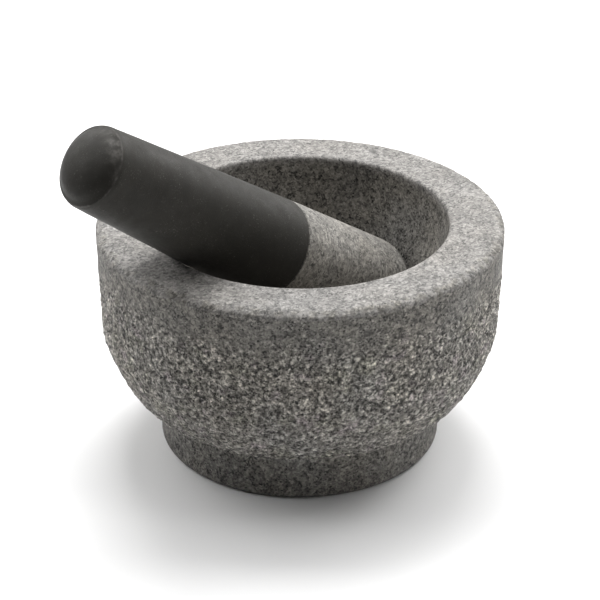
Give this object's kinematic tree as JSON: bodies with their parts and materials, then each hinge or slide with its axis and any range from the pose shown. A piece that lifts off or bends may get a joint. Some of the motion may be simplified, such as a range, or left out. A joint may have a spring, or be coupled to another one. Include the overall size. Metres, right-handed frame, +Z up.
{
  "type": "mortar and pestle",
  "caption": "Round stone mortar with a deep bowl, a rough belly and a narrower foot, and a stone pestle with a dark grip sleeve leaning in the bowl.",
  "frame": {"origin": "centre of the foot's underside, on the mortar's axis", "axes": "+Z up the mortar's axis; the pestle leans in the XZ plane, its handle towards -X and its head towards +X"},
  "size_m": [0.2343, 0.2, 0.1973],
  "materials": {
    "mortar_granite": "honed rim, bowl and foot, and a rough pecked belly",
    "pestle_granite": "fine ground",
    "grip_silicone": "matte"
  },
  "bodies": {
    "mortar": {"mortar": "mortar_granite"},
    "pestle": {"pestle_stone": "pestle_granite", "pestle_grip": "grip_silicone"}
  },
  "joints": [
    {"name": "pestle_lift", "type": "slide", "parent": "mortar", "child": "pestle", "axis": [0, 0, 1], "range_m": [0, 0.13]}
  ]
}
